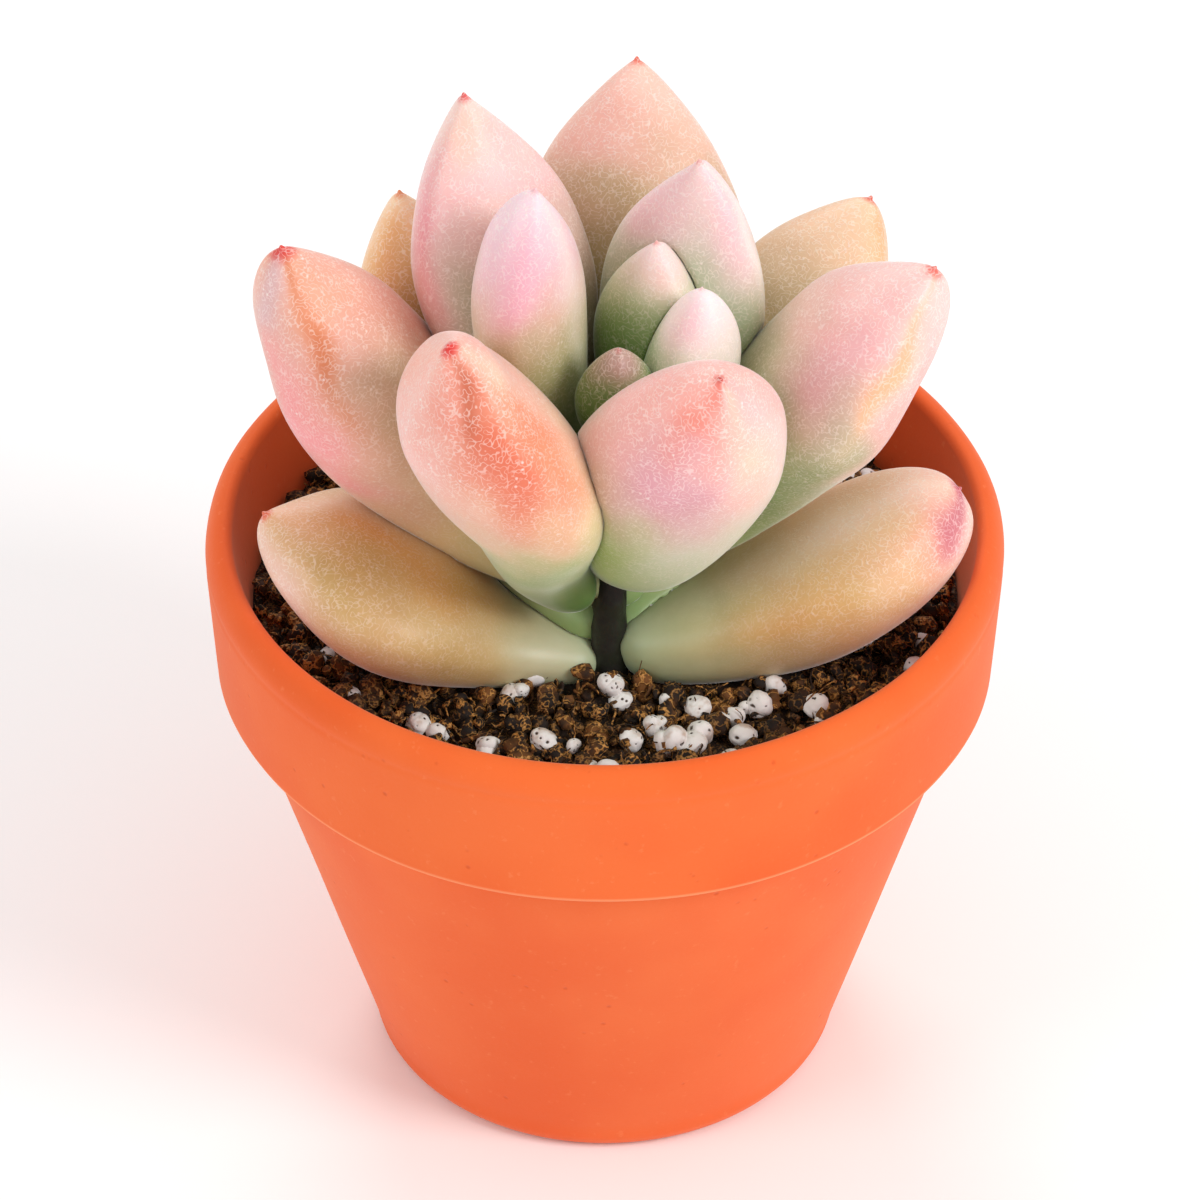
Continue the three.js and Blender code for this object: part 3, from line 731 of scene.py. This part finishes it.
# how much of the bloom each kind of leaf carries
skins = {
    "leaf_tan": {"Lines": 0.34, "Grains": 0.45, "Mottle": 0.16},
    "leaf_coral": {"Lines": 0.38, "Grains": 0.65, "Mottle": 0.14},
    "leaf_pink": {"Lines": 0.38, "Grains": 0.6, "Mottle": 0.12},
    "leaf_green": {"Lines": 0.3, "Grains": 0.4, "Mottle": 0.12},
}


def leafMaterial(slot, group):
    material, tree, shader = startMaterial("skin_" + slot)
    skin = tree.nodes.new("ShaderNodeGroup")
    skin.node_tree = group
    blush = addNode(tree, "ShaderNodeAttribute", attribute_name="blush")
    wax = addNode(tree, "ShaderNodeAttribute", attribute_name="wax")
    tree.links.new(blush.outputs["Color"], skin.inputs["Color"])
    tree.links.new(wax.outputs["Fac"], skin.inputs["Wax"])
    setInputs(skin, skins[slot])
    tree.links.new(skin.outputs["Color"], shader.inputs["Base Color"])
    rough = mathNode(tree, "ADD", mathNode(tree, "MULTIPLY", skin.outputs["Bloom"], 0.15), 0.4)
    tree.links.new(rough, shader.inputs["Roughness"])
    addBump(tree, shader, skin.outputs["Height"], 0.35, 0.00008)
    setInputs(shader, {
        "Subsurface Weight": 0.2, "Subsurface Radius": (0.003, 0.0016, 0.001), "Subsurface Scale": 1.0,
        "Sheen Weight": 0.6, "Sheen Roughness": 0.22, "Specular IOR Level": 0.4,
    })
    return material


def buildLeaves():
    slots = {entry["node"]: entry["material_slot"] for entry in frame["record"]["subparts"]}
    group = bloomGroup()
    materials = {slot: leafMaterial(slot, group) for slot in skins}
    earlier = []
    for name in leafHabits:
        piece = buildLeaf(name, earlier)
        piece.data.materials.append(materials[slots[name]])
        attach(piece, "root")
        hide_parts(name)
        earlier.append(name)
    print("leaves built")


soil = {
    "waves": (31.0, 24.0), "roll": 0.5, "mound": 2.4, "moundWidth": 5.0, "sink": 0.9, "lumps": 0.45,
    "rings": 90, "segments": 180, "wallGap": 0.2, "wallRows": 10, "floorRows": 8,
    "crumbs": 1500, "crumbSize": (1.3, 3.1), "crumbLumps": 0.34,
    "black": rgb(26, 14, 7), "dark": rgb(58, 33, 14), "brown": rgb(122, 76, 32), "gold": rgb(206, 146, 76),
}


def soilTop(x, y):
    # the soil's gently rolling top: a product of two waves and a slanting one
    waveX, waveY = soil["waves"]
    rolls = np.sin(2 * math.pi * x / waveX + 1) * np.cos(2 * math.pi * y / waveY)
    slant = np.sin(2 * math.pi * (x + y) / waveX)
    fromStem = np.hypot(x - plant["stemFoot"][0], y - plant["stemFoot"][1])
    mound = soil["mound"] * np.exp(-(fromStem / soil["moundWidth"]) ** 2)
    return soilLevel + soil["roll"] * (rolls + 0.5 * slant) + mound


def clearOfLeaves(points, margin):
    # true for points that lie outside every leaf, by about the margin
    clear = np.ones(len(points), bool)
    for name in leafHabits:
        clear &= sectionPlace(points, name, margin)[0] > 1
    return clear


def randomTurns(rng, count):
    # rotation matrices from random unit quaternions
    w, x, y, z = rng.normal(size=(count, 4)).T
    size = np.sqrt(w * w + x * x + y * y + z * z)
    w, x, y, z = w / size, x / size, y / size, z / size
    return np.stack([
        1 - 2 * (y * y + z * z), 2 * (x * y - w * z), 2 * (x * z + w * y),
        2 * (x * y + w * z), 1 - 2 * (x * x + z * z), 2 * (y * z - w * x),
        2 * (x * z - w * y), 2 * (y * z + w * x), 1 - 2 * (x * x + y * y),
    ], -1).reshape(-1, 3, 3)


def scatter(rng, count, lift, margin):
    # random places on the soil, clear of the leaves, the stem and the pot's wall
    angle = rng.uniform(0, 2 * math.pi, count)
    reach = (innerRadius(soilLevel) - margin) * np.sqrt(rng.uniform(0, 1, count))
    x, y = reach * np.cos(angle), reach * np.sin(angle)
    places = np.stack([x, y, soilTop(x, y) + rng.uniform(*lift, count)], -1)
    fromStem = np.hypot(x - plant["stemFoot"][0], y - plant["stemFoot"][1])
    return places, clearOfLeaves(places, margin * 0.5) & (fromStem > plant["stemRadii"][0] + 0.4)


def joinedPiece(name, shapes, faces, smooth=True):
    # many shapes of one pattern of faces as one mesh
    count, size = shapes.shape[:2]
    every = faces[None] + (np.arange(count) * size)[:, None, None]
    return makePiece(name, shapes.reshape(-1, 3) * mm, every.reshape(-1, faces.shape[1]), smooth)


def ballPattern():
    # a sphere of 42 points and 80 faces
    work = bmesh.new()
    bmesh.ops.create_icosphere(work, subdivisions=2, radius=1.0)
    points = np.array([vertex.co[:] for vertex in work.verts])
    faces = np.array([[vertex.index for vertex in face.verts] for face in work.faces])
    work.free()
    return points, faces


def buildCrumbs(material):
    # knobbly crumbs: spheres pulled in and out by waves, then squashed and turned
    rng = np.random.default_rng(41)
    places, clear = scatter(rng, soil["crumbs"], (-0.9, 0.9), 0.9)
    size = rng.uniform(*soil["crumbSize"], soil["crumbs"])
    squash = rng.uniform(0.6, 1.0, (soil["crumbs"], 1, 3))
    turns = randomTurns(rng, soil["crumbs"])
    tint = rng.uniform(0, 1, soil["crumbs"])
    balls, faces = ballPattern()
    offsets = rng.uniform(-50, 50, (soil["crumbs"], 1, 3))
    lumps = 1 + soil["crumbLumps"] * softNoise(balls[None] + offsets, 1.3, 5)
    shapes = balls[None] * lumps[..., None] * squash * size[:, None, None] / 2
    shapes = np.einsum("nij,nkj->nki", turns, shapes) + places[:, None]
    piece = joinedPiece("soilCrumbs", shapes[clear], faces)
    addAttribute(piece, "tint", np.repeat(tint[clear], len(balls)))
    piece.data.materials.append(material)
    return piece


flakes = {
    "seed": 52, "count": 1500, "length": (1.4, 3.2), "width": (0.4, 1.0), "thickness": (0.12, 0.25),
    "turn": (1.0, 3.6), "lift": (-0.5, 1.0),
}
fibres = {
    "seed": 63, "count": 420, "length": (3.0, 6.5), "width": (0.16, 0.256), "thickness": (0.12, 0.2),
    "turn": (-3.0, 3.0), "lift": (-0.2, 1.1),
}


def curls(rng, count, length, width, thickness, turn):
    # strips bent on a growing curve: a flat section of four corners carried along a few rings
    rings = 8
    s = np.linspace(0, 1, rings)
    bend = rng.uniform(*turn, (count, 1)) * s + rng.uniform(-1.6, 1.6, (count, 1)) * s * s
    step = (length / (rings - 1))[:, None]
    x = np.cumsum(np.cos(bend), 1) * step
    y = np.cumsum(np.sin(bend), 1) * step
    wave = np.sin(s * rng.uniform(1, 5, (count, 1)) + rng.uniform(0, 6, (count, 1))) * length[:, None] * 0.12
    centre = np.stack([x, y, wave], -1)
    centre -= centre.mean(1, keepdims=True)
    normal = np.stack([-np.sin(bend), np.cos(bend), 0 * bend], -1)
    binormal = np.array([0, 0, 1.0])
    narrow = 0.35 + 0.65 * np.sin(math.pi * (0.08 + 0.84 * s))
    corners = []
    for across, over in ((1, 0), (0, 1), (-1, 0), (0, -1)):
        wide = across * (width / 2)[:, None, None] * narrow[None, :, None] * binormal
        thick = over * (thickness / 2)[:, None, None] * normal
        corners.append(centre + wide + thick)
    shapes = np.stack(corners, 2).reshape(count, rings * 4, 3)
    faces = ringFaces(rings, 4)
    last = (rings - 1) * 4
    ends = np.array([[3, 2, 1, 0], [last, last + 1, last + 2, last + 3]])
    return np.einsum("nij,nkj->nki", randomTurns(rng, count), shapes), np.concatenate([faces, ends])


def buildCurls(name, curl, material):
    rng = np.random.default_rng(curl["seed"])
    count = curl["count"]
    places, clear = scatter(rng, count, curl["lift"], 1.0)
    length, width, thickness = (rng.uniform(*curl[key], count) for key in ("length", "width", "thickness"))
    shapes, faces = curls(rng, count, length, width, thickness, curl["turn"])
    tint = rng.uniform(0, 1, count)
    piece = joinedPiece(name, (shapes + places[:, None])[clear], faces[:, ::-1])
    addAttribute(piece, "tint", np.repeat(tint[clear], shapes.shape[1]))
    piece.data.materials.append(material)
    return piece


# lobes: height, size and seed of each; meshes: rows and columns of a loose grain and of a fine one
perlite = {
    "looseGrains": 12, "fineGrains": 120, "fineSize": (1.3, 2.9), "looseMesh": (40, 64), "fineMesh": (20, 30),
    "lobes": ((0.2, 2.2, 8), (0.03, 0.5, 9)), "pores": 16, "poreWidth": (0.07, 0.17), "poreDepth": 0.13,
    "white": rgb(238, 234, 232), "stain": rgb(170, 128, 92), "pore": rgb(64, 44, 32),
}


def puffedGrain(rng, rows, columns):
    # a sphere drawn out into soft lobes, with small round pores; its depth in a pore comes with it
    v, u = np.meshgrid(np.linspace(0, math.pi, rows), roundAngles(columns), indexing="ij")
    way = np.stack([np.sin(v) * np.cos(u), np.sin(v) * np.sin(u), np.cos(v)], -1)
    swell = 1
    for lobe, size, seed in perlite["lobes"]:
        swell = swell + lobe * softNoise(way + rng.uniform(-50, 50, 3), size, seed)
    pores = rng.normal(size=(perlite["pores"], 3))
    pores /= np.linalg.norm(pores, axis=1, keepdims=True)
    width = rng.uniform(*perlite["poreWidth"], perlite["pores"])
    near = (1 - np.einsum("ijk,pk->ijp", way, pores)) * 2 / width ** 2
    pore = np.exp(-near).max(-1)
    return (way * (swell - perlite["poreDepth"] * pore)[..., None]).reshape(-1, 3), pore.reshape(-1)


def grainFaces(rows, columns):
    # the rings run from the top down, so the faces are turned over to point outwards
    return ringFaces(rows, columns)[:, ::-1]


def buildPerlite(material):
    # the loose grains fill their nodes' boxes
    rows, columns = perlite["looseMesh"]
    for i in range(1, perlite["looseGrains"] + 1):
        node = f"perlite_grain_{i:02d}"
        low, high = (np.array(corner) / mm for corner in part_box(node))
        points, pore = puffedGrain(np.random.default_rng(100 + i), rows, columns)
        points = (points - points.min(0)) / np.ptp(points, axis=0) * (high - low) + low
        piece = makePiece(f"perliteGrain{i:02d}", points * mm, grainFaces(rows, columns))
        addAttribute(piece, "pore", pore)
        piece.data.materials.append(material)
        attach(piece, "root")
        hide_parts(node)
    # smaller ones lie among the crumbs: three tries for each, and the first ones that are clear
    rng = np.random.default_rng(77)
    rows, columns = perlite["fineMesh"]
    places, clear = scatter(rng, perlite["fineGrains"] * 3, (0.0, 1.0), 1.3)
    places = places[clear][:perlite["fineGrains"]]
    turns = randomTurns(rng, len(places))
    shapes, pores = [], []
    for place, turn in zip(places, turns):
        points, pore = puffedGrain(rng, rows, columns)
        shapes.append(points @ turn.T * rng.uniform(*perlite["fineSize"]) / 2 + place)
        pores.append(pore)
    piece = joinedPiece("finePerlite", np.array(shapes), grainFaces(rows, columns))
    addAttribute(piece, "pore", np.concatenate(pores))
    piece.data.materials.append(material)
    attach(piece, "root")


def buildSoilBed(material):
    # a round bed: a lumpy top on polar rings, then down the wall and in across the floor
    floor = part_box("soil_bed")[0].z / mm
    share = np.linspace(0, 1, soil["rings"])[1:, None]
    angle = roundAngles(soil["segments"])
    edge = innerRadius(soilLevel) - soil["wallGap"]
    x, y = edge * share * np.cos(angle), edge * share * np.sin(angle)
    flat = np.stack([x, y, 0 * x], -1)
    lumps = soil["lumps"] * (softNoise(flat, 3.2, 21) + 0.6 * softNoise(flat, 1.4, 22))
    z = soilTop(x, y) - soil["sink"] + lumps
    top = np.stack([x, y, z], -1)
    down = np.linspace(1, 0, soil["wallRows"])[1:, None]
    sideZ = floor + (top[-1, :, 2] - floor)[None] * down
    sideRadius = innerRadius(sideZ) - soil["wallGap"]
    side = np.stack([sideRadius * np.cos(angle), sideRadius * np.sin(angle), sideZ], -1)
    inward = np.linspace(1, 0, soil["floorRows"])[1:-1, None]
    bottomRadius = side[-1, :, :2][None] * inward[..., None]
    bottom = np.concatenate([bottomRadius, np.full(bottomRadius.shape[:2] + (1,), floor)], -1)
    rows = np.concatenate([top, side, bottom])
    count = len(rows)
    points = np.concatenate([rows.reshape(-1, 3), [[0, 0, top[0, :, 2].mean()], [0, 0, floor]]])
    column = np.arange(soil["segments"])
    nextColumn = (column + 1) % soil["segments"]
    last = (count - 1) * soil["segments"]
    quads = ringFaces(count, soil["segments"])[:, ::-1].tolist()
    centreTop = np.stack([column, nextColumn, np.full(len(column), len(points) - 2)], -1)
    centreLow = np.stack([last + nextColumn, last + column, np.full(len(column), len(points) - 1)], -1)
    piece = makePiece("soilBed", points * mm, quads + centreTop.tolist() + centreLow.tolist())
    addAttribute(piece, "tint", np.zeros(len(points)))
    piece.data.materials.append(material)
    return piece


def crumbMaterial():
    # dark bark and coir with wrinkled golden ridges, each crumb a little different
    material, tree, shader = startMaterial("barkAndCoir")
    place = objectPlace(tree)
    tint = addNode(tree, "ShaderNodeAttribute", attribute_name="tint").outputs["Fac"]
    fold = noiseAt(tree, place, 900, 2, 0.6)
    ridge = spread(tree, awayFrom(tree, fold, 0.5), 0.0, 0.07, 1.0, 0.0)
    patch = noiseAt(tree, place, 330, 2, 0.6)
    colour = mixColour(tree, spread(tree, tint, 0.1, 0.9), soil["dark"], soil["brown"])
    colour = mixColour(tree, spread(tree, patch, 0.4, 0.65), soil["black"], colour)
    golden = mathNode(tree, "MULTIPLY", ridge, spread(tree, tint, 0.0, 0.7, 0.25, 0.95))
    colour = mixColour(tree, golden, colour, soil["gold"])
    tree.links.new(colour, shader.inputs["Base Color"])
    addBump(tree, shader, ridge, 0.8, 0.0002)
    rough = mathNode(tree, "SUBTRACT", 0.8, mathNode(tree, "MULTIPLY", ridge, 0.3))
    tree.links.new(rough, shader.inputs["Roughness"])
    shader.inputs["Specular IOR Level"].default_value = 0.4
    return material


def perliteMaterial():
    # chalky white glass foam with dark pores, stained brown here and there
    material, tree, shader = startMaterial("perliteFoam")
    place = objectPlace(tree)
    pore = addNode(tree, "ShaderNodeAttribute", attribute_name="pore").outputs["Fac"]
    stain = spread(tree, noiseAt(tree, place, 420, 3, 0.6), 0.52, 0.72)
    fine = noiseAt(tree, place, 2400, 2, 0.6)
    colour = mixColour(tree, mathNode(tree, "MULTIPLY", stain, 0.6), perlite["white"], perlite["stain"])
    colour = mixColour(tree, spread(tree, pore, 0.25, 0.7), colour, perlite["pore"])
    tree.links.new(colour, shader.inputs["Base Color"])
    addBump(tree, shader, fine, 0.5, 0.0001)
    rough = mathNode(tree, "ADD", mathNode(tree, "MULTIPLY", fine, 0.2), 0.65)
    tree.links.new(rough, shader.inputs["Roughness"])
    return material


def buildSoil():
    bark, foam = crumbMaterial(), perliteMaterial()
    bed = buildSoilBed(bark)
    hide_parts("soil_bed")
    pieces = [
        bed,
        buildCrumbs(bark),
        buildCurls("curledFlakes", flakes, bark),
        buildCurls("coirFibres", fibres, bark),
    ]
    for piece in pieces:
        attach(piece, "root")
    buildPerlite(foam)
    print("soil built")


stem = {
    "rows": 60, "columns": 40, "scar": 3.1, "bulge": 0.3, "slim": 0.6, "rootTip": 1.2,
    # the stem's green and bark are painted nearly black: painted shade, for the stem stands in the shadow
    # under the leaves
    "green": rgb(30, 34, 20), "bark": rgb(24, 17, 12),
}


def buildStem():
    # a leaning round stem, with a low ring where each old leaf sat, and a root that narrows to a tip
    low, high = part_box("stem")
    low, high = low.z / mm, high.z / mm
    share = np.linspace(0, 1, stem["rows"])
    z = low + (high - low) * (1 - np.cos(math.pi * share)) / 2
    rise = z - soilLevel
    angle = roundAngles(stem["columns"])
    root = np.interp(z, (low, soilLevel), (stem["rootTip"], plant["stemRadii"][0]))
    radius = stem["slim"] * np.where(rise > 0, stemRadius(rise), root)
    radius = radius * np.sqrt(np.clip(1 - (2 * share - 1) ** 24, 0, 1))
    winding = rise[:, None] / stem["scar"] * 2 * math.pi + 2.4 * angle
    radius = radius[:, None] - stem["bulge"] * (0.5 + 0.5 * np.sin(winding)) ** 3 * (radius > 0.8)[:, None]
    x = plant["stemFoot"][0] + radius * np.cos(angle)
    y = plant["stemFoot"][1] + plant["stemSlope"] * np.clip(rise, 0, None)[:, None] + radius * np.sin(angle)
    points = np.stack([x, y, z[:, None] + 0 * x], -1).reshape(-1, 3)
    faces = ringFaces(stem["rows"], stem["columns"])
    piece = makePiece("leafyStem", points * mm, faces)
    material, tree, shader = startMaterial("stemSkin")
    place = objectPlace(tree)
    patch = spread(tree, noiseAt(tree, place, 260, 3, 0.6), 0.4, 0.65)
    tree.links.new(mixColour(tree, patch, stem["green"], stem["bark"]), shader.inputs["Base Color"])
    rough = mathNode(tree, "ADD", mathNode(tree, "MULTIPLY", patch, 0.3), 0.5)
    tree.links.new(rough, shader.inputs["Roughness"])
    addBump(tree, shader, noiseAt(tree, place, 800, 3, 0.6), 0.5, 0.0002)
    piece.data.materials.append(material)
    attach(piece, "root")
    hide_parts("stem")
    print("stem built")


studio = {
    "target": (-0.5, 0.0, 53.8), "distance": 749.7, "elevation": 39.37, "lens": 223.05,
    "floor": rgb(255, 255, 255), "floorHalf": 1.6, "worldLight": 0.62, "lightTarget": (0, 0, 60),
    # place, width and power of each lamp
    "lights": {
        "keyLight": ((450, -300, 430), 280, 2.15),
        "fillLight": ((-450, -260, 340), 300, 0.7),
        "backLight": ((-80, 420, 420), 260, 0.8),
    },
}


def areaLight(name, place, size, power):
    data = bpy.data.lights.new(name, "AREA")
    data.shape = "DISK"
    data.size = size * mm
    data.energy = power
    lamp = bpy.data.objects.new(name, data)
    lamp.location = Vector(place) * mm
    towards = Vector(studio["lightTarget"]) - Vector(place)
    lamp.rotation_euler = towards.to_track_quat("-Z", "Y").to_euler()
    bpy.context.scene.collection.objects.link(lamp)


def buildStudio():
    scene = bpy.context.scene
    scene.view_settings.view_transform = "Standard"
    elevation = math.radians(studio["elevation"])
    back = Vector((0, -math.cos(elevation), math.sin(elevation)))
    cameraData = bpy.data.cameras.new("camera")
    cameraData.sensor_width = 36
    cameraData.lens = studio["lens"]
    camera = bpy.data.objects.new("camera", cameraData)
    camera.location = (Vector(studio["target"]) + back * studio["distance"]) * mm
    camera.rotation_euler = (-back).to_track_quat("-Z", "Y").to_euler()
    scene.collection.objects.link(camera)
    scene.camera = camera
    side = studio["floorHalf"]
    corners = np.array([[-side, -side, 0], [side, -side, 0], [side, side, 0], [-side, side, 0]])
    floor = makePiece("floor", corners, np.array([[0, 1, 2, 3]]), False)
    material, tree, shader = startMaterial("paleFloor")
    shader.inputs["Base Color"].default_value = studio["floor"]
    shader.inputs["Roughness"].default_value = 0.9
    floor.data.materials.append(material)
    world = bpy.data.worlds.new("studio")
    world.use_nodes = True
    setInputs(world.node_tree.nodes["Background"], {"Color": (1, 1, 1, 1), "Strength": studio["worldLight"]})
    scene.world = world
    for name, light in studio["lights"].items():
        areaLight(name, *light)
    print("studio built")


buildPot()
buildLeaves()
buildSoil()
buildStem()
buildStudio()
